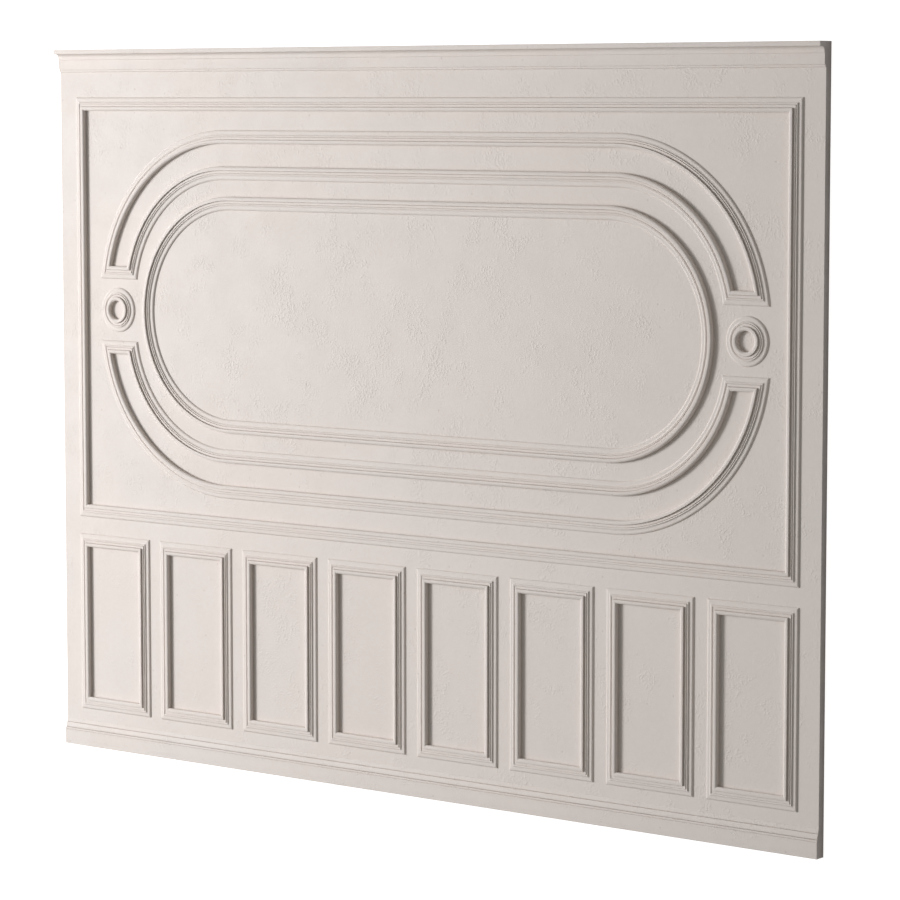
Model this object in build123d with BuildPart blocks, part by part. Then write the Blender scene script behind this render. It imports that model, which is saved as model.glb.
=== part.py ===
from build123d import *
import os
from math import asin, degrees, sqrt

# A wall panel with raised mouldings, lying on its back.
# X runs along the width, Y up the wall towards the cornice, Z out of the face.
# The origin is at the middle of the back face. Sizes are in millimetres.

# backing board
panel_width = 3600
panel_height = 2800
board_thickness = 32

# stepped moulding: runs are measured out from the crest edge, reliefs up from the board;
# it falls from the crest by a grooved riser, a ledge with a bead, a fillet and a hollow to its rim
moulding_width = 52
crest_relief = 16.5
crest_width = 14
shoulder_run = 5.5
shoulder_drop = 3.3
quirk_run = 0.8
quirk_width = 1.7
quirk_depth = 1.2
ledge_relief = 10.8
bead_start = 24.2
bead_run = 0.7
bead_width = 2.6
bead_rise = 1.3
fillet_relief = 10
fillet_edge = 31
fillet_riser_run = 0.4
fillet_drop = 1.4
hollow_run = 4.6
rim_relief = 5.7
rim_run = 6.5
rim_nose_run = 2.4
rim_nose_relief = 3.8

# cornice along the top edge
cornice_height = 92
cornice_projection = 40
fascia_height = 18
soffit_projection = 27
soffit_fall = 2
cove_height = 20
frieze_projection = 13
frieze_step_height = 2
frieze_recess = 3
frieze_foot_height = 12
foot_lip_height = 4
foot_projection = 5

# skirting along the bottom edge
skirting_height = 105
skirting_thickness = 12
skirting_face_height = 60
skirting_bead_height = 8
skirting_step = 1.5
torus_height = 20
torus_projection = 5
skirting_top_edge = 1

# large frame, placed down from the top of the board
side_margin = 87
top_margin = 188
large_frame_height = 1678

# row of upright frames, between the large frame and the skirting
lower_frame_count = 8
lower_frame_gap = 56
row_gap = 68
skirting_gap = 47

# rounded loops inside the large frame
loop_gap = 73
c_field_width = 89
c_arc_rise = 51
c_end_offset = 122
oval_gap = 64
oval_end_gap = 43

# round rosettes at mid-height
rosette_opening_radius = 37
rosette_inset = 221.5

# places worked out from the sizes above
panel_top = panel_height / 2
panel_bottom = -panel_height / 2
large_frame_width = panel_width - 2 * side_margin
large_frame_top = panel_top - top_margin
loop_centre_y = large_frame_top - large_frame_height / 2
c_straight_height = large_frame_height / 2 - moulding_width - loop_gap
outer_arc_radius = c_straight_height - c_arc_rise
outer_crest_radius = outer_arc_radius - moulding_width
inner_crest_radius = outer_crest_radius - c_field_width
inner_arc_radius = inner_crest_radius - moulding_width
c_arc_x = large_frame_width / 2 - moulding_width - loop_gap - outer_arc_radius
c_arc_y = loop_centre_y + c_arc_rise
oval_crest_radius = inner_arc_radius + c_arc_rise - oval_gap
oval_arc_x = c_arc_x + inner_arc_radius - oval_end_gap - oval_crest_radius
lower_row_width = large_frame_width - (lower_frame_count - 1) * lower_frame_gap
lower_frame_width = lower_row_width / lower_frame_count
lower_frame_top = large_frame_top - large_frame_height - row_gap
lower_frame_bottom = panel_bottom + skirting_height + skirting_gap
lower_frame_height = lower_frame_top - lower_frame_bottom
rosette_x = large_frame_width / 2 - rosette_inset


def section_plane(x, y, outward):
    """Plane across a length of moulding, its X pointing outwards and its Y out of the board."""
    run = Vector(*outward, 0).cross(Vector(0, 0, 1))
    return Plane(origin=(x, y, board_thickness), x_dir=(*outward, 0), z_dir=run)


def moulding_section(plane):
    """Outline of the stepped moulding, laid on the given plane."""
    quirk_bottom = crest_width + quirk_run
    fillet_foot = fillet_edge + fillet_riser_run
    with BuildSketch(plane) as section:
        with BuildLine():
            Polyline(
                (0, 0),
                (0, crest_relief - shoulder_drop),
                (shoulder_run, crest_relief),
                (crest_width, crest_relief),
                (quirk_bottom, ledge_relief - quirk_depth),
                (quirk_bottom + quirk_width, ledge_relief),
                (bead_start, ledge_relief),
                (bead_start + bead_run, ledge_relief + bead_rise),
                (bead_start + bead_width, fillet_relief),
                (fillet_edge, fillet_relief),
                (fillet_foot, fillet_relief - fillet_drop),
                (fillet_foot + hollow_run, rim_relief),
                (moulding_width - rim_run, rim_relief),
                (moulding_width - rim_nose_run, rim_nose_relief),
                (moulding_width, 0),
                (0, 0),
            )
        make_face()
    return section.sketch


def cut_mitre(crest_corner, outer_corner, kept_side):
    """Cut away what lies beyond the upright mitre plane through two corners."""
    crest_point = Vector(*crest_corner, board_thickness)
    along = Vector(*outer_corner, board_thickness) - crest_point
    normal = along.cross(Vector(0, 0, 1))
    if (Vector(*kept_side, board_thickness) - crest_point).dot(normal) < 0:
        normal = -normal
    plane = Plane(origin=crest_point + along / 2, x_dir=along, z_dir=normal)
    with BuildSketch(plane) as waste:
        Rectangle(4 * moulding_width, 4 * crest_relief)
    extrude(waste.sketch, amount=-2 * moulding_width, mode=Mode.SUBTRACT)


def mitred_side(centre, half_size, outward):
    """One side of a rectangular loop, mitred at both ends; half_size is to the crest edge."""
    outward = Vector(*outward)
    run = Vector(outward.Y, -outward.X)
    centre = Vector(*centre)
    half = Vector(*half_size)
    crest_middle = centre + outward * abs(outward.dot(half))
    half_run = abs(run.dot(half))
    length = half_run + moulding_width
    start = crest_middle - run * length
    with BuildPart() as side:
        section = moulding_section(section_plane(start.X, start.Y, (outward.X, outward.Y)))
        extrude(section, amount=2 * length)
        for end in (-1, 1):
            crest_corner = crest_middle + run * end * half_run
            outer_corner = crest_corner + (outward + run * end) * moulding_width
            cut_mitre(
                (crest_corner.X, crest_corner.Y),
                (outer_corner.X, outer_corner.Y),
                (crest_middle.X, crest_middle.Y),
            )
    return side


def straight_run(crest_y, outward, half_run):
    """Straight length of a rounded loop, square at both ends, seen from above as a level run."""
    start_x = -half_run * outward
    with BuildPart() as run:
        extrude(moulding_section(section_plane(start_x, crest_y, (0, outward))), amount=2 * half_run)
    return run


def curved_run(centre, crest_radius, outward, sweep):
    """Arc of moulding about a centre, from the end of a straight length towards the right."""
    with BuildPart() as arc:
        section = moulding_section(
            section_plane(centre[0], centre[1] + crest_radius, (0, outward))
        )
        revolve(section, axis=Axis((*centre, 0), (0, 0, -1)), revolution_arc=sweep)
    return arc


def point_on_c_arc(radius, height):
    """Point of a right-hand arc of the upper C-shaped frame, at a height above mid-height."""
    rise = height - c_arc_rise
    return (c_arc_x + sqrt(radius**2 - rise**2), loop_centre_y + height)


def c_arc_sweep(radius):
    """Angle from the straight length down to the end of the frame."""
    return 90 - degrees(asin((c_end_offset - c_arc_rise) / radius))


def save(piece, name):
    """Name a finished piece and write it."""
    piece.part.label = name
    export_step(piece.part, f"parts/{name}.step")


def mirrored_down(piece):
    """Turn a piece made above mid-height into its match below."""
    with piece:
        mirror(about=Plane.XZ.offset(-loop_centre_y), mode=Mode.REPLACE)
    return piece


def with_left_match(piece):
    """Add the left-hand match of a piece made at the right."""
    with piece:
        mirror(about=Plane.YZ)
    return piece


os.makedirs("parts", exist_ok=True)

# backing board
with BuildPart() as backing_board:
    with BuildSketch(Plane.XY):
        Rectangle(panel_width, panel_height)
    extrude(amount=board_thickness)
save(backing_board, "backing_board")

# cornice: its section is drawn out from the face and down from the top edge
cornice_plane = Plane(
    origin=(-panel_width / 2, panel_top, board_thickness), x_dir=(0, 1, 0), z_dir=(1, 0, 0)
)
cove_bottom = -fascia_height - soffit_fall - cove_height
lip_bottom = -cornice_height
foot_top = lip_bottom + frieze_foot_height
frieze_face = frieze_projection - frieze_recess
with BuildPart() as cornice:
    with BuildSketch(cornice_plane):
        with BuildLine():
            Polyline(
                (0, 0),
                (0, cornice_projection),
                (-fascia_height, cornice_projection),
                (-fascia_height - soffit_fall, soffit_projection),
            )
            RadiusArc(
                (-fascia_height - soffit_fall, soffit_projection),
                (cove_bottom, frieze_projection),
                cove_height,
            )
            Polyline(
                (cove_bottom, frieze_projection),
                (cove_bottom - frieze_step_height, frieze_face),
                (foot_top, frieze_face),
                (foot_top - foot_lip_height, foot_projection),
                (lip_bottom + foot_lip_height, foot_projection),
                (lip_bottom, 0),
                (0, 0),
            )
        make_face()
    extrude(amount=panel_width)
save(cornice, "cornice")

# skirting: its section is drawn out from the face and up from the bottom edge
skirting_plane = Plane(
    origin=(-panel_width / 2, panel_bottom, board_thickness), x_dir=(0, 1, 0), z_dir=(1, 0, 0)
)
bead_face = skirting_thickness - skirting_step
torus_face = bead_face - skirting_step
bead_top = skirting_face_height + skirting_bead_height
torus_top = bead_top + torus_height
with BuildPart() as skirting:
    with BuildSketch(skirting_plane):
        with BuildLine():
            Polyline(
                (0, 0),
                (0, skirting_thickness),
                (skirting_face_height, skirting_thickness),
                (skirting_face_height + skirting_step, bead_face),
                (bead_top, bead_face),
                (bead_top + skirting_step, torus_face),
            )
            RadiusArc(
                (bead_top + skirting_step, torus_face), (torus_top, torus_projection), -2 * torus_height
            )
            Polyline((torus_top, torus_projection), (torus_top, torus_projection - skirting_step))
            RadiusArc(
                (torus_top, torus_projection - skirting_step),
                (skirting_height, skirting_top_edge),
                2 * torus_height,
            )
            Polyline((skirting_height, skirting_top_edge), (skirting_height, 0), (0, 0))
        make_face()
    extrude(amount=panel_width)
save(skirting, "skirting")

# large frame: a pair of rails and a pair of stiles, mitred at the corners
large_centre = (0, loop_centre_y)
large_half = (large_frame_width / 2 - moulding_width, large_frame_height / 2 - moulding_width)
large_rails = mitred_side(large_centre, large_half, (0, 1))
with large_rails:
    mirror(about=Plane.XZ.offset(-loop_centre_y))
save(large_rails, "large_frame_rails")
save(with_left_match(mitred_side(large_centre, large_half, (1, 0))), "large_frame_stiles")

# oval: its steps fall towards the middle, so its crest is the outer edge
oval_straights = straight_run(loop_centre_y + oval_crest_radius, -1, oval_arc_x)
with oval_straights:
    mirror(about=Plane.XZ.offset(-loop_centre_y))
save(oval_straights, "oval_straights")
for upper in (True, False):
    oval_arcs = curved_run((oval_arc_x, loop_centre_y), oval_crest_radius, -1, 90)
    with_left_match(oval_arcs)
    if not upper:
        mirrored_down(oval_arcs)
    save(oval_arcs, "oval_top_arcs" if upper else "oval_bottom_arcs")

# C-shaped frames above and below the oval
crest_height = c_end_offset + moulding_width
outer_corner = point_on_c_arc(outer_arc_radius, c_end_offset)
outer_crest_corner = point_on_c_arc(outer_crest_radius, crest_height)
inner_corner = point_on_c_arc(inner_arc_radius, c_end_offset)
inner_crest_corner = point_on_c_arc(inner_crest_radius, crest_height)
end_middle = ((outer_corner[0] + inner_corner[0]) / 2, loop_centre_y + c_end_offset)
c_arc_centre = (c_arc_x, c_arc_y)
arc_side = (c_arc_x, c_arc_y + outer_arc_radius)
for upper in (True, False):
    frame_name = "upper_c_frame" if upper else "lower_c_frame"
    outer_straight = straight_run(c_arc_y + outer_crest_radius, 1, c_arc_x)
    inner_straight = straight_run(c_arc_y + inner_crest_radius, -1, c_arc_x)

    outer_arcs = curved_run(c_arc_centre, outer_crest_radius, 1, c_arc_sweep(outer_arc_radius))
    with outer_arcs:
        cut_mitre(outer_crest_corner, outer_corner, arc_side)
    with_left_match(outer_arcs)

    inner_arcs = curved_run(c_arc_centre, inner_crest_radius, -1, c_arc_sweep(inner_arc_radius))
    with inner_arcs:
        cut_mitre(inner_crest_corner, inner_corner, arc_side)
    with_left_match(inner_arcs)

    with BuildPart() as ends:
        end_section = moulding_section(
            section_plane(outer_corner[0], loop_centre_y + crest_height, (0, -1))
        )
        extrude(end_section, amount=outer_corner[0] - inner_corner[0])
        cut_mitre(outer_crest_corner, outer_corner, end_middle)
        cut_mitre(inner_crest_corner, inner_corner, end_middle)
    with_left_match(ends)

    frame_parts = {
        "outer_straight": outer_straight,
        "inner_straight": inner_straight,
        "outer_arcs": outer_arcs,
        "inner_arcs": inner_arcs,
        "ends": ends,
    }
    for part_name, piece in frame_parts.items():
        if not upper:
            mirrored_down(piece)
        save(piece, f"{frame_name}_{part_name}")

# rosettes: the same moulding turned into a ring
with BuildPart() as rosettes:
    ring_section = moulding_section(
        section_plane(rosette_x, loop_centre_y + rosette_opening_radius, (0, 1))
    )
    revolve(ring_section, axis=Axis((rosette_x, loop_centre_y, 0), (0, 0, 1)))
save(with_left_match(rosettes), "rosettes")

# row of upright frames: each has a pair of stiles and a pair of rails
lower_half = (lower_frame_width / 2 - moulding_width, lower_frame_height / 2 - moulding_width)
lower_centre_y = lower_frame_top - lower_frame_height / 2
for number in range(lower_frame_count):
    centre_x = (number - (lower_frame_count - 1) / 2) * (lower_frame_width + lower_frame_gap)
    lower_centre = (centre_x, lower_centre_y)
    stiles = mitred_side(lower_centre, lower_half, (1, 0))
    with stiles:
        mirror(about=Plane.YZ.offset(centre_x))
    save(stiles, f"lower_frame_{number + 1}_stiles")
    rails = mitred_side(lower_centre, lower_half, (0, 1))
    with rails:
        mirror(about=Plane.XZ.offset(-lower_centre_y))
    save(rails, f"lower_frame_{number + 1}_rails")
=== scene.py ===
from math import acos, pi, radians

import bmesh
import bpy
from mathutils import Matrix, Vector


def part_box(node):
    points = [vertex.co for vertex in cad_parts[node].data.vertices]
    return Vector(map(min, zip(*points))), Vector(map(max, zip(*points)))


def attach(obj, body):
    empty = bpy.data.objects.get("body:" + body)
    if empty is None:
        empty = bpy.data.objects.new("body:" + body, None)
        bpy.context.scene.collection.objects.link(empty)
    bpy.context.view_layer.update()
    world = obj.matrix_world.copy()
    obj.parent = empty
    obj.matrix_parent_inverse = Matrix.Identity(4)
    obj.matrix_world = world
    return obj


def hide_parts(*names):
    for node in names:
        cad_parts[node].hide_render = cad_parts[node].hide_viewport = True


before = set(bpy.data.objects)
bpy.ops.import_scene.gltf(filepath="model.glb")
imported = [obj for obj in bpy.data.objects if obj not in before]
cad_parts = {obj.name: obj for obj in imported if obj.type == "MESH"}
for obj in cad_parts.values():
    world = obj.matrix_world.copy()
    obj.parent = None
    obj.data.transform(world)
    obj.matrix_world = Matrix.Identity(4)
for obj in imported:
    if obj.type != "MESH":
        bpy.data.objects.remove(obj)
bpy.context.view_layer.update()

MM = 0.001
UP = Vector((0, 0, 1))

# The panel lies on its back: X along its width, Y up the wall, Z out of its face.
board_low, board_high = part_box("backing_board")
BOARD_FACE = board_high.z

# camera at the viewing angle of the photograph, in the frame of the lying panel
CAMERA_PLACE = (8.259, 1.207, 10.245)
CAMERA_TILT = radians(4.45)
CAMERA_TURN = radians(-38.47)
CAMERA_ROLL = radians(-3.50)
CAMERA_LENS = 141.89
CAMERA_FAR = 100
SENSOR_WIDTH = 36

# Soft studio light: a key lamp at the left front with a broad glow round it, and an even surround.
# Each lamp: name, size across, power.
LAMP_PLACE = (-10.0, 0.7, 7.0)
LAMPS = (
    ("key", 3.4, 1160),
    ("glow", 12.0, 550),
)
LAMP_COLOUR = (0.995, 0.985, 1.0)
FILL_STRENGTH = 0.205
FILL_COLOUR = (1.0, 0.98, 0.93)

# floor
FLOOR_SIZE = 60
FLOOR_COLOUR = (0.93, 0.93, 0.93)
FLOOR_ROUGHNESS = 0.9
FLOOR_GLOW = 0.85

# paint: its colour drifts to a cooler one and is mottled with a soiled one;
# creases get a painted brown shade, and the panel's outer edges get painted shade
PAINT = (0.80, 0.735, 0.685, 1)
PAINT_COOL = (0.785, 0.73, 0.69, 1)
PAINT_SOILED = (0.62, 0.55, 0.5, 1)
# colour of the painted shade mixed into creases
CREASE_SHADE_COLOUR = (0.3, 0.25, 0.22, 1)
# colour of the painted shade on the panel's outer edges and end faces
EDGE_SHADE_COLOUR = (0.33, 0.3, 0.28, 1)
MOTTLE_SHARE = 0.09
# share by which the stipple's pits are darkened towards the soiled colour
PIT_DARKENING = 0.5
SHEEN = (0.56, 0.64)
PAINT_IOR = 1.45
PAINT_SPECULAR = 0.35
CREASE_SHADE_SAMPLES = 8

# heights of the paint's stipple, as shares of the full height
PATCH_FLOOR = 0.2
GRAIN_SHARE = 0.15
PIT_SHARE = 0.5

# noise scales, per metre; the groups' own inputs hold those of the stipple
DRIFT_SCALE = 1.7
MOTTLE_SCALE = 55.0
SHEEN_SCALE = 9.0
PIT_CHOICE_SCALE = 300.0
EDGE_SHADE_SCALE = 7.0

# values of a noise, a distance or an openness between which an effect fades in or out
DRIFT_FADE = (0.35, 0.68)
MOTTLE_FADE = (0.3, 0.75)
SHEEN_FADE = (0.3, 0.7)
LUMP_FADE = (0.42, 0.72)
PATCH_FADE = (0.42, 0.6)
SPOT_FADE = (0.38, 0.6)
PIT_CHOICE_FADE = (0.58, 0.62)
PIT_EDGE_FADE = (0.05, 0.14)
CREASE_SHADE_FADE = (0.3, 0.95)
# the next two set the painted shade on the panel's outer edges
EDGE_SHADE_FADE = (0.3, 0.6)
EDGE_SHADE_FLOOR = 0.75

# Stepped moulding, in mm: run out from the crest edge, height above the board, rounding of the
# corner. Narrow grooves lie beside the crest and beside the bead.
MOULDING_WIDTH = 52
MOULDING_STEPS = (
    (0, 0, 0),
    (0, 13.2, 1.6),
    (5.5, 16.5, 2.0),
    (14, 16.5, 0.7),
    (14.6, 8.2, 0.2),
    (16.3, 10.2, 0.5),
    (24, 10.3, 0.3),
    (24.8, 12.1, 0.4),
    (26.6, 8.7, 0.3),
    (31, 10, 0.5),
    (31.5, 7.6, 0.2),
    (36, 5.7, 1.5),
    (45.5, 5.7, 1.0),
    (49.6, 3.8, 1.2),
    (52, 0, 0),
)

# cornice, in mm: run down from the top edge, height above the board, rounding
CORNICE_STEPS = (
    (0, 0, 0),
    (0, 40, 0.8),
    (17, 40, 1.2),
    (17.8, 28, 0.5),
    (20, 20, 2.5),
    (26, 13, 5),
    (39.6, 12.2, 0.5),
    (40.8, 9.4, 0.3),
    (79, 10, 0.5),
    (79.8, 5, 0.3),
    (87, 5.2, 0.6),
    (88.6, 0.5, 0.3),
    (92, 0, 0),
)

# skirting, in mm: run up from the bottom edge, height above the board, rounding;
# a narrow groove lies at the foot of each step
SKIRTING_STEPS = (
    (0, 0, 0),
    (0, 12, 0.8),
    (58.6, 12, 0.5),
    (59.5, 9.2, 0.2),
    (60.6, 10.5, 0.4),
    (66.6, 10.5, 0.5),
    (67.5, 5.6, 0.2),
    (69.3, 9, 0.4),
    (79.5, 8.1, 8),
    (87, 5.2, 0.5),
    (88, 0.9, 0.2),
    (89.6, 3.5, 0.5),
    (97, 2.2, 4),
    (105, 1, 0.4),
    (105, 0, 0),
)

LOWER_FRAMES = 8

# roundings over LARGE_ROUND mm get the finer division
LARGE_ROUND = 3
ROUND_SEGMENTS = 6
ARRIS_SEGMENTS = 2
BOARD_ARRIS = 1.2
ARC_STEP = radians(1.5)
RING_STEPS = 96
SHARP_ANGLE = radians(32)

# how far the painted shade reaches in from the panel's outer edges, in mm
EDGE_SHADE_REACH = 1.5

# a mitre cut takes in what lies within this many moulding widths of its corner
MITRE_REACH = 4.5

# how near a point lies to a cut, in metres, to count as on it
CUT_TOLERANCE = 1e-7


def add_camera():
    """Camera at the viewing angle of the photograph, looking down on the lying panel."""
    data = bpy.data.cameras.new("camera")
    data.sensor_width = SENSOR_WIDTH
    data.lens = CAMERA_LENS
    data.clip_end = CAMERA_FAR
    camera = bpy.data.objects.new("camera", data)
    turn = Matrix.Rotation(CAMERA_TURN, 4, "Y")
    tilt = Matrix.Rotation(CAMERA_TILT, 4, "X")
    roll = Matrix.Rotation(CAMERA_ROLL, 4, "Z")
    camera.matrix_world = Matrix.Translation(CAMERA_PLACE) @ (turn @ tilt @ roll).inverted()
    bpy.context.scene.collection.objects.link(camera)
    bpy.context.scene.camera = camera


def aim(obj, place, target):
    """Stand a light at a place, facing a target."""
    facing = (Vector(target) - Vector(place)).to_track_quat("-Z", "Y")
    obj.matrix_world = Matrix.Translation(place) @ facing.to_matrix().to_4x4()


def add_lights():
    """Key lamp and its broad glow, facing the middle of the panel, and an even pale surround."""
    for name, size, power in LAMPS:
        data = bpy.data.lights.new(name, "AREA")
        data.shape = "DISK"
        data.size = size
        data.energy = power
        data.color = LAMP_COLOUR
        lamp = bpy.data.objects.new(name, data)
        aim(lamp, LAMP_PLACE, (0, 0, 0))
        bpy.context.scene.collection.objects.link(lamp)

    world = bpy.data.worlds.new("surround")
    world.use_nodes = True
    background = world.node_tree.nodes["Background"]
    background.inputs["Color"].default_value = (*FILL_COLOUR, 1)
    background.inputs["Strength"].default_value = FILL_STRENGTH
    bpy.context.scene.world = world
    bpy.context.scene.view_settings.view_transform = "Standard"


def new_group(name, inputs, outputs):
    """Shader node group with named sockets, given as (name, socket type, start value)."""
    group = bpy.data.node_groups.new(name, "ShaderNodeTree")
    for label, kind, value in inputs:
        socket = group.interface.new_socket(label, in_out="INPUT", socket_type=kind)
        if value is not None:
            socket.default_value = value
    for label, kind in outputs:
        group.interface.new_socket(label, in_out="OUTPUT", socket_type=kind)
    start = group.nodes.new("NodeGroupInput")
    end = group.nodes.new("NodeGroupOutput")
    return group, start, end


def calculate(tree, operation, first, second=None, clamp=False):
    """Math node whose inputs are sockets or numbers; gives its output."""
    node = tree.nodes.new("ShaderNodeMath")
    node.operation = operation
    node.use_clamp = clamp
    for socket, value in zip(node.inputs, (first, second)):
        if value is None:
            continue
        if hasattr(value, "is_linked"):
            tree.links.new(value, socket)
        else:
            socket.default_value = value
    return node.outputs[0]


def noise(tree, vector, scale, detail=3, roughness=0.55):
    """Noise node on a vector; gives its value, about 0.5 in the middle."""
    node = tree.nodes.new("ShaderNodeTexNoise")
    node.inputs["Detail"].default_value = detail
    node.inputs["Roughness"].default_value = roughness
    tree.links.new(vector, node.inputs["Vector"])
    if hasattr(scale, "is_linked"):
        tree.links.new(scale, node.inputs["Scale"])
    else:
        node.inputs["Scale"].default_value = scale
    return node.outputs["Fac"]


def ramp(tree, value, low, high, to_low=0.0, to_high=1.0):
    """Smooth step between two values."""
    node = tree.nodes.new("ShaderNodeMapRange")
    node.interpolation_type = "SMOOTHSTEP"
    numbers = {"From Min": low, "From Max": high, "To Min": to_low, "To Max": to_high}
    for label, number in numbers.items():
        node.inputs[label].default_value = number
    tree.links.new(value, node.inputs["Value"])
    return node.outputs["Result"]


def mix_colour(tree, share, first, second):
    """Blend of two colours, each a socket or a value."""
    node = tree.nodes.new("ShaderNodeMix")
    node.data_type = "RGBA"
    for label, value in (("Factor_Float", share), ("A_Color", first), ("B_Color", second)):
        socket = next(s for s in node.inputs if s.identifier == label)
        if hasattr(value, "is_linked"):
            tree.links.new(value, socket)
        else:
            socket.default_value = value
    return next(s for s in node.outputs if s.identifier == "Result_Color")


def stipple_group():
    """Rolled paint: soft lumps that come and go in patches, fine grain and a few small pits."""
    group, start, end = new_group(
        "paint_stipple",
        [
            ("Vector", "NodeSocketVector", None),
            ("Lump Scale", "NodeSocketFloat", 140.0),
            ("Grain Scale", "NodeSocketFloat", 420.0),
            ("Patch Scale", "NodeSocketFloat", 4.0),
            ("Spot Scale", "NodeSocketFloat", 14.0),
            ("Pit Scale", "NodeSocketFloat", 26.0),
        ],
        [("Height", "NodeSocketFloat"), ("Pits", "NodeSocketFloat")],
    )
    vector = start.outputs["Vector"]
    lumps = ramp(group, noise(group, vector, start.outputs["Lump Scale"], detail=1), *LUMP_FADE)
    grain = noise(group, vector, start.outputs["Grain Scale"], detail=2)
    broad = noise(group, vector, start.outputs["Patch Scale"], detail=5, roughness=0.62)
    small = noise(group, vector, start.outputs["Spot Scale"])
    broad_share = ramp(group, broad, *PATCH_FADE, PATCH_FLOOR, 1.0)
    small_share = ramp(group, small, *SPOT_FADE, PATCH_FLOOR, 1.0)
    patches = calculate(group, "MULTIPLY", broad_share, small_share)

    pit = group.nodes.new("ShaderNodeTexVoronoi")
    group.links.new(vector, pit.inputs["Vector"])
    group.links.new(start.outputs["Pit Scale"], pit.inputs["Scale"])
    choice = noise(group, pit.outputs["Position"], PIT_CHOICE_SCALE, detail=0)
    chosen = ramp(group, choice, *PIT_CHOICE_FADE)
    near = ramp(group, pit.outputs["Distance"], *PIT_EDGE_FADE, 1.0, 0.0)
    pits = calculate(group, "MULTIPLY", chosen, near, clamp=True)

    lump_height = calculate(group, "MULTIPLY", lumps, patches)
    grain_height = calculate(group, "MULTIPLY", grain, GRAIN_SHARE)
    relief = calculate(group, "ADD", lump_height, grain_height)
    height = calculate(group, "SUBTRACT", relief, calculate(group, "MULTIPLY", pits, PIT_SHARE))
    group.links.new(height, end.inputs["Height"])
    group.links.new(pits, end.inputs["Pits"])
    return group


def tone_group():
    """Paint colour that drifts gently over the panel, cooler in places, with darker pits."""
    group, start, end = new_group(
        "paint_tone",
        [
            ("Vector", "NodeSocketVector", None),
            ("Pits", "NodeSocketFloat", 0.0),
            ("Paint", "NodeSocketColor", PAINT),
            ("Cool", "NodeSocketColor", PAINT_COOL),
            ("Soiled", "NodeSocketColor", PAINT_SOILED),
        ],
        [("Colour", "NodeSocketColor"), ("Sheen", "NodeSocketFloat")],
    )
    vector = start.outputs["Vector"]
    drift = ramp(group, noise(group, vector, DRIFT_SCALE, detail=4), *DRIFT_FADE)
    mottle = ramp(group, noise(group, vector, MOTTLE_SCALE), *MOTTLE_FADE, 0.0, MOTTLE_SHARE)
    drifted = mix_colour(group, drift, start.outputs["Paint"], start.outputs["Cool"])
    mottled = mix_colour(group, mottle, drifted, start.outputs["Soiled"])
    pit_share = calculate(group, "MULTIPLY", start.outputs["Pits"], PIT_DARKENING)
    colour = mix_colour(group, pit_share, mottled, start.outputs["Soiled"])
    sheen = ramp(group, noise(group, vector, SHEEN_SCALE), *SHEEN_FADE, *SHEEN)
    group.links.new(colour, end.inputs["Colour"])
    group.links.new(sheen, end.inputs["Sheen"])
    return group


def crease_shading_group():
    """Share of painted shade darkening creases, found from how enclosed a point is."""
    group, start, end = new_group(
        "painted_crease_shade",
        [("Reach", "NodeSocketFloat", 0.008), ("Strength", "NodeSocketFloat", 0.2)],
        [("Mask", "NodeSocketFloat")],
    )
    hollow = group.nodes.new("ShaderNodeAmbientOcclusion")
    hollow.samples = CREASE_SHADE_SAMPLES
    group.links.new(start.outputs["Reach"], hollow.inputs["Distance"])
    enclosed = ramp(group, hollow.outputs["AO"], *CREASE_SHADE_FADE, 1.0, 0.0)
    mask = calculate(group, "MULTIPLY", enclosed, start.outputs["Strength"], clamp=True)
    group.links.new(mask, end.inputs["Mask"])
    return group


def edge_shading_group():
    """Share of painted shade on and near the panel's outer edges, broken up by noise."""
    group, start, end = new_group(
        "painted_edge_shade",
        [("Vector", "NodeSocketVector", None), ("Strength", "NodeSocketFloat", 0.5)],
        [("Mask", "NodeSocketFloat")],
    )
    vector = start.outputs["Vector"]
    split = group.nodes.new("ShaderNodeSeparateXYZ")
    group.links.new(vector, split.inputs["Vector"])
    near = [
        ramp(group, calculate(group, "ABSOLUTE", split.outputs[axis]), far - EDGE_SHADE_REACH * MM, far)
        for axis, far in (("X", board_high.x), ("Y", board_high.y))
    ]
    patchy = ramp(group, noise(group, vector, EDGE_SHADE_SCALE, detail=4), *EDGE_SHADE_FADE, EDGE_SHADE_FLOOR, 1.0)
    edge_darkening = calculate(group, "MULTIPLY", calculate(group, "MAXIMUM", *near), patchy)
    mask = calculate(group, "MULTIPLY", edge_darkening, start.outputs["Strength"], clamp=True)
    group.links.new(mask, end.inputs["Mask"])
    return group


def add_group(tree, group, **values):
    """Place a group in a material with its own values; a value's name has _ for a space."""
    node = tree.nodes.new("ShaderNodeGroup")
    node.node_tree = group
    for label, value in values.items():
        node.inputs[label.replace("_", " ")].default_value = value
    return node


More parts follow.
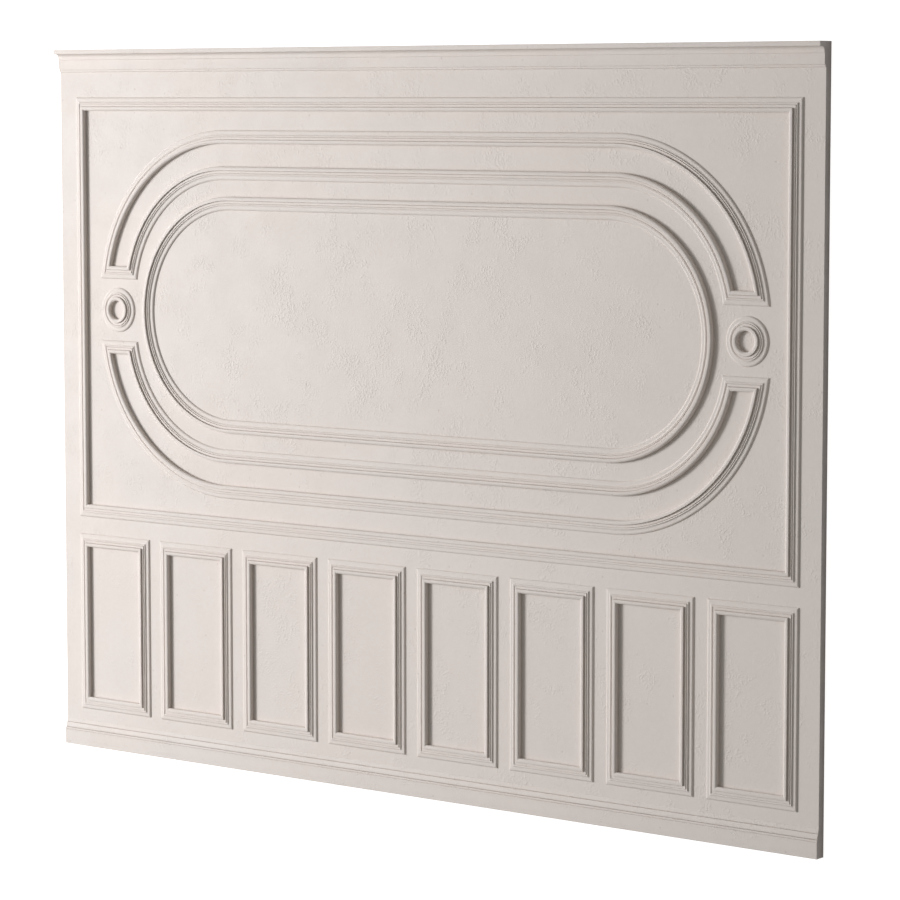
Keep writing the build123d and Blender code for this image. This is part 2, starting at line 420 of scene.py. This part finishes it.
def paint(name, groups, bump, turned=0.0, edges=False, **scales):
    """Matt wall paint; bump is its stipple's height in mm, and edges adds painted shade on outer
    edges.
    """
    material = bpy.data.materials.new(name)
    material.use_nodes = True
    tree = material.node_tree
    shader = tree.nodes["Principled BSDF"]
    place = tree.nodes.new("ShaderNodeTexCoord").outputs["Object"]
    mapping = tree.nodes.new("ShaderNodeMapping")
    mapping.inputs["Rotation"].default_value = (0, 0, turned)
    tree.links.new(place, mapping.inputs["Vector"])
    vector = mapping.outputs["Vector"]
    stipple = add_group(tree, groups["stipple"], **scales)
    tone = add_group(tree, groups["tone"])
    tree.links.new(vector, stipple.inputs["Vector"])
    tree.links.new(vector, tone.inputs["Vector"])
    tree.links.new(stipple.outputs["Pits"], tone.inputs["Pits"])

    relief = tree.nodes.new("ShaderNodeBump")
    relief.inputs["Distance"].default_value = bump * MM
    tree.links.new(stipple.outputs["Height"], relief.inputs["Height"])
    tree.links.new(relief.outputs["Normal"], shader.inputs["Normal"])
    # painted shade: creases are darkened by how enclosed they are
    crease = add_group(tree, groups["crease"])
    shaded = mix_colour(tree, crease.outputs["Mask"], tone.outputs["Colour"], CREASE_SHADE_COLOUR)
    # painted shade: the panel's outer edges and end faces are darkened
    if edges:
        edge_darkening = add_group(tree, groups["edge"])
        tree.links.new(place, edge_darkening.inputs["Vector"])
        shaded = mix_colour(tree, edge_darkening.outputs["Mask"], shaded, EDGE_SHADE_COLOUR)
    tree.links.new(shaded, shader.inputs["Base Color"])
    tree.links.new(tone.outputs["Sheen"], shader.inputs["Roughness"])
    shader.inputs["IOR"].default_value = PAINT_IOR
    shader.inputs["Specular IOR Level"].default_value = PAINT_SPECULAR
    return material


def floor_material():
    """Plain pale floor that reads near white round the panel."""
    material = bpy.data.materials.new("floor_white")
    material.use_nodes = True
    tree = material.node_tree
    shader = tree.nodes["Principled BSDF"]
    shader.inputs["Base Color"].default_value = (*FLOOR_COLOUR, 1)
    shader.inputs["Roughness"].default_value = FLOOR_ROUGHNESS
    shader.inputs["Emission Color"].default_value = (1, 1, 1, 1)
    seen = tree.nodes.new("ShaderNodeLightPath").outputs["Is Camera Ray"]
    glow = calculate(tree, "MULTIPLY", seen, FLOOR_GLOW)
    tree.links.new(glow, shader.inputs["Emission Strength"])
    return material


def add_floor():
    """Large plain floor under the panel."""
    mesh = bpy.data.meshes.new("floor")
    bm = bmesh.new()
    bmesh.ops.create_grid(bm, x_segments=1, y_segments=1, size=FLOOR_SIZE / 2)
    bm.to_mesh(mesh)
    bm.free()
    mesh.materials.append(floor_material())
    floor = bpy.data.objects.new("floor", mesh)
    bpy.context.scene.collection.objects.link(floor)


def section_face(bm, steps):
    """Flat outline at the origin with rounded corners, X out along the board and Y off it."""
    corners = [bm.verts.new((run * MM, rise * MM, 0)) for run, rise, _ in steps]
    bm.faces.new(corners)
    for corner, (_, _, rounding) in zip(corners, steps):
        if not rounding:
            continue
        bmesh.ops.bevel(
            bm,
            geom=[corner],
            offset=rounding * MM,
            offset_type="OFFSET",
            segments=ROUND_SEGMENTS if rounding > LARGE_ROUND else ARRIS_SEGMENTS,
            profile=0.5,
            affect="VERTICES",
            material=-1,
        )


def lay_section(bm, steps, place, outward):
    """Stand the outline on the board's face at a place, its steps going outwards."""
    section_face(bm, steps)
    outward = Vector(outward).normalized()
    frame_axes = Matrix((outward, UP, outward.cross(UP))).transposed().to_4x4()
    lay = Matrix.Translation(place) @ frame_axes
    bmesh.ops.transform(bm, matrix=lay, verts=bm.verts)


def draw_out(bm, run):
    """Draw the outline out along a run into a closed length; gives the far end's points."""
    drawn = bmesh.ops.extrude_face_region(bm, geom=bm.faces[:])
    end = [item for item in drawn["geom"] if isinstance(item, bmesh.types.BMVert)]
    bmesh.ops.translate(bm, vec=run, verts=end)
    return end


def slant_end(bm, verts, corner, outward, run):
    """Slant an end for a mitre: each point moves along the run as far as it lies out."""
    slant = Matrix.Identity(3)
    for row in range(3):
        for column in range(3):
            slant[row][column] += run[row] * outward[column]
    bmesh.ops.transform(
        bm, matrix=slant.to_4x4(), space=Matrix.Translation(-Vector(corner)), verts=verts
    )


def mitred_length(centre, half_size, outward):
    """One side of a rectangular frame, mitred at both ends; half_size is to the crest edge."""
    outward = Vector((*outward, 0))
    run = UP.cross(outward)
    half = Vector((*half_size, 0))
    crest = Vector(centre) + outward * abs(outward.dot(half))
    half_run = run * abs(run.dot(half))
    bm = bmesh.new()
    lay_section(bm, MOULDING_STEPS, crest - half_run, outward)
    near = bm.verts[:]
    far = draw_out(bm, half_run * 2)
    slant_end(bm, near, crest - half_run, outward, -run)
    slant_end(bm, far, crest + half_run, outward, run)
    return bm


def straight_length(start, end, outward, steps=MOULDING_STEPS):
    """Length between two points of its crest edge, square at both ends."""
    bm = bmesh.new()
    lay_section(bm, steps, start, outward)
    draw_out(bm, Vector(end) - Vector(start))
    return bm


def bent_length(centre, crest_radius, outward, sweep):
    """Length bent clockwise about a centre, from straight above it."""
    bm = bmesh.new()
    lay_section(bm, MOULDING_STEPS, Vector(centre) + Vector((0, crest_radius, 0)), (0, outward, 0))
    bmesh.ops.spin(
        bm,
        geom=bm.verts[:] + bm.edges[:] + bm.faces[:],
        cent=centre,
        axis=(0, 0, -1),
        angle=sweep,
        steps=round(sweep / ARC_STEP),
        use_merge=False,
    )
    return bm


def turned_ring(centre, crest_radius):
    """Ring with the moulding's steps falling away outwards."""
    bm = bmesh.new()
    lay_section(bm, MOULDING_STEPS, Vector(centre) + Vector((0, crest_radius, 0)), (0, 1, 0))
    bmesh.ops.delete(bm, geom=bm.faces[:], context="FACES_ONLY")
    bmesh.ops.spin(
        bm,
        geom=bm.verts[:] + bm.edges[:],
        cent=centre,
        axis=(0, 0, -1),
        angle=2 * pi,
        steps=RING_STEPS,
        use_merge=True,
    )
    return bm


def cut_mitre(bm, first, second, kept):
    """Cut an end off along the upright plane through two points, away from a kept point."""
    first = Vector(first)
    across = (Vector(second) - first).cross(UP).normalized()
    if across.dot(Vector(kept) - first) > 0:
        across = -across
    reach = MITRE_REACH * MOULDING_WIDTH * MM
    near = {vert for vert in bm.verts if (vert.co - first).length < reach}
    lines = [item for item in bm.edges[:] + bm.faces[:] if near.issuperset(item.verts)]
    cut = bmesh.ops.bisect_plane(
        bm,
        geom=list(near) + lines,
        dist=CUT_TOLERANCE,
        plane_co=first,
        plane_no=across,
        clear_outer=True,
    )
    edges = [item for item in cut["geom_cut"] if isinstance(item, bmesh.types.BMEdge)]
    bmesh.ops.edgeloop_fill(bm, edges=edges)


def add_match(bm, flip, about=(0, 0, 0)):
    """Add the mirror image of a finished length, flipped about a point."""
    double = bmesh.ops.duplicate(bm, geom=bm.verts[:] + bm.edges[:] + bm.faces[:])["geom"]
    verts = [item for item in double if isinstance(item, bmesh.types.BMVert)]
    bmesh.ops.scale(bm, vec=flip, space=Matrix.Translation(-Vector(about)), verts=verts)


def turn_over(bm, about):
    """Flip a length made above a point to below it."""
    bmesh.ops.scale(bm, vec=(1, -1, 1), space=Matrix.Translation(-Vector(about)), verts=bm.verts)


def finish_piece(bm, name, node, material):
    """Turn the faces outwards, then name and paint a piece that stands for a CAD node."""
    bmesh.ops.recalc_face_normals(bm, faces=bm.faces)
    mesh = bpy.data.meshes.new(name)
    bm.to_mesh(mesh)
    bm.free()
    mesh.polygons.foreach_set("use_smooth", [True] * len(mesh.polygons))
    mesh.set_sharp_from_angle(angle=SHARP_ANGLE)
    mesh.materials.append(material)
    piece = bpy.data.objects.new(name, mesh)
    bpy.context.scene.collection.objects.link(piece)
    even_shading = piece.modifiers.new("even_shading", "WEIGHTED_NORMAL")
    even_shading.keep_sharp = True
    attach(piece, "root")
    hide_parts(node)


def moulding_piece(bm, node):
    """Finish a length of the stepped moulding."""
    finish_piece(bm, f"{node}_moulding", node, materials["moulding"])


def add_board():
    """Backing board with slightly eased edges."""
    bm = bmesh.new()
    bmesh.ops.create_cube(bm, size=1)
    bmesh.ops.scale(bm, vec=board_high - board_low, verts=bm.verts)
    bmesh.ops.translate(bm, vec=(board_high + board_low) / 2, verts=bm.verts)
    bmesh.ops.bevel(
        bm,
        geom=bm.edges[:],
        offset=BOARD_ARRIS * MM,
        offset_type="OFFSET",
        segments=ARRIS_SEGMENTS,
        profile=0.5,
        affect="EDGES",
        material=-1,
    )
    finish_piece(bm, "board_sheet", "backing_board", materials["board"])


def add_edge_trims():
    """Cornice along the top and skirting along the bottom."""
    trims = (
        ("cornice", CORNICE_STEPS, board_high.y, -1),
        ("skirting", SKIRTING_STEPS, board_low.y, 1),
    )
    for node, steps, edge, inward in trims:
        ends = [Vector((x, edge, BOARD_FACE)) for x in (board_low.x, board_high.x)]
        bm = straight_length(*ends, (0, inward, 0), steps)
        finish_piece(bm, f"{node}_length", node, materials["trim"])


def frame_layout(node):
    """Centre and half size to the crest edge of a rectangular frame, from its rails' box."""
    low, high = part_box(node)
    centre = (low + high) / 2
    centre.z = BOARD_FACE
    half = (high - low) / 2 - Vector((1, 1, 0)) * MOULDING_WIDTH * MM
    return centre, (half.x, half.y)


def add_rectangular_frames():
    """The large frame and the row of upright frames under it."""
    lower_frames = [f"lower_frame_{number}" for number in range(1, LOWER_FRAMES + 1)]
    for name in ["large_frame"] + lower_frames:
        centre, half = frame_layout(f"{name}_rails")
        rails = mitred_length(centre, half, (0, 1))
        add_match(rails, (1, -1, 1), centre)
        moulding_piece(rails, f"{name}_rails")
        stiles = mitred_length(centre, half, (1, 0))
        add_match(stiles, (-1, 1, 1), centre)
        moulding_piece(stiles, f"{name}_stiles")


def add_oval(middle):
    """Oval loop whose crest is its outer edge."""
    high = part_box("oval_top_arcs")[1]
    radius = high.y - middle.y
    turn_x = high.x - radius
    crest_y = middle.y + radius
    straights = straight_length(
        (-turn_x, crest_y, BOARD_FACE), (turn_x, crest_y, BOARD_FACE), (0, -1, 0)
    )
    add_match(straights, (1, -1, 1), middle)
    moulding_piece(straights, "oval_straights")
    for level in ("top", "bottom"):
        arcs = bent_length((turn_x, middle.y, BOARD_FACE), radius, -1, pi / 2)
        add_match(arcs, (-1, 1, 1))
        if level == "bottom":
            turn_over(arcs, middle)
        moulding_piece(arcs, f"oval_{level}_arcs")


def add_c_frames(middle):
    """The C-shaped frames above and below the oval: two bent runs closed by short ends."""
    width = MOULDING_WIDTH * MM
    turn_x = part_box("upper_c_frame_outer_straight")[1].x
    arcs_low, arcs_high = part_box("upper_c_frame_outer_arcs")
    reach = arcs_high.x - turn_x
    drop = arcs_high.y - arcs_low.y
    outer_radius = (reach**2 + drop**2) / (2 * drop)
    centre = Vector((turn_x, arcs_high.y - outer_radius, BOARD_FACE))
    inner_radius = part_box("upper_c_frame_inner_straight")[0].y - centre.y
    end_low, end_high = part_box("upper_c_frame_ends")

    def on_arc(radius, y):
        """Point of the right arc of a radius at a height up the panel."""
        rise = y - centre.y
        return Vector((centre.x + (radius**2 - rise**2) ** 0.5, y, BOARD_FACE))

    outer_corners = (on_arc(outer_radius, end_low.y), on_arc(outer_radius - width, end_high.y))
    inner_corners = (on_arc(inner_radius, end_low.y), on_arc(inner_radius + width, end_high.y))
    end_middle = (outer_corners[0] + inner_corners[0]) / 2

    for level in ("upper", "lower"):
        runs = (
            ("outer", outer_radius, outer_radius - width, 1, outer_corners),
            ("inner", inner_radius, inner_radius + width, -1, inner_corners),
        )
        made = {}
        for side, low_radius, crest_radius, outward, corners in runs:
            crest_y = centre.y + crest_radius
            made[f"{side}_straight"] = straight_length(
                (-turn_x, crest_y, BOARD_FACE), (turn_x, crest_y, BOARD_FACE), (0, outward, 0)
            )
            sweep = acos((corners[0].y - centre.y) / low_radius)
            arcs = bent_length(centre, crest_radius, outward, sweep)
            cut_mitre(arcs, *corners, centre + Vector((0, low_radius, 0)))
            add_match(arcs, (-1, 1, 1))
            made[f"{side}_arcs"] = arcs
        ends = straight_length(
            (inner_corners[0].x, end_high.y, BOARD_FACE),
            (outer_corners[0].x, end_high.y, BOARD_FACE),
            (0, -1, 0),
        )
        cut_mitre(ends, *outer_corners, end_middle)
        cut_mitre(ends, *inner_corners, end_middle)
        add_match(ends, (-1, 1, 1))
        made["ends"] = ends
        for part, bm in made.items():
            if level == "lower":
                turn_over(bm, middle)
            moulding_piece(bm, f"{level}_c_frame_{part}")


def add_rosettes(middle):
    """Round rosettes beside the oval."""
    low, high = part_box("rosettes")
    radius = (high.y - low.y) / 2
    centre = (high.x - radius, middle.y, BOARD_FACE)
    ring = turned_ring(centre, radius - MOULDING_WIDTH * MM)
    add_match(ring, (-1, 1, 1))
    moulding_piece(ring, "rosettes")


add_camera()
add_lights()
add_floor()
shared = {
    "stipple": stipple_group(),
    "tone": tone_group(),
    "crease": crease_shading_group(),
    "edge": edge_shading_group(),
}
materials = {
    "board": paint("board_paint", shared, bump=0.8, edges=True),
    "moulding": paint("moulding_paint", shared, bump=0.35, turned=0.6, Patch_Scale=6.0),
    "trim": paint("trim_paint", shared, bump=0.7, turned=1.1, edges=True, Patch_Scale=5.0),
}
loop_middle = Vector((0, sum(corner.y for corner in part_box("large_frame_rails")) / 2, BOARD_FACE))
add_board()
add_edge_trims()
add_rectangular_frames()
add_oval(loop_middle)
add_c_frames(loop_middle)
add_rosettes(loop_middle)
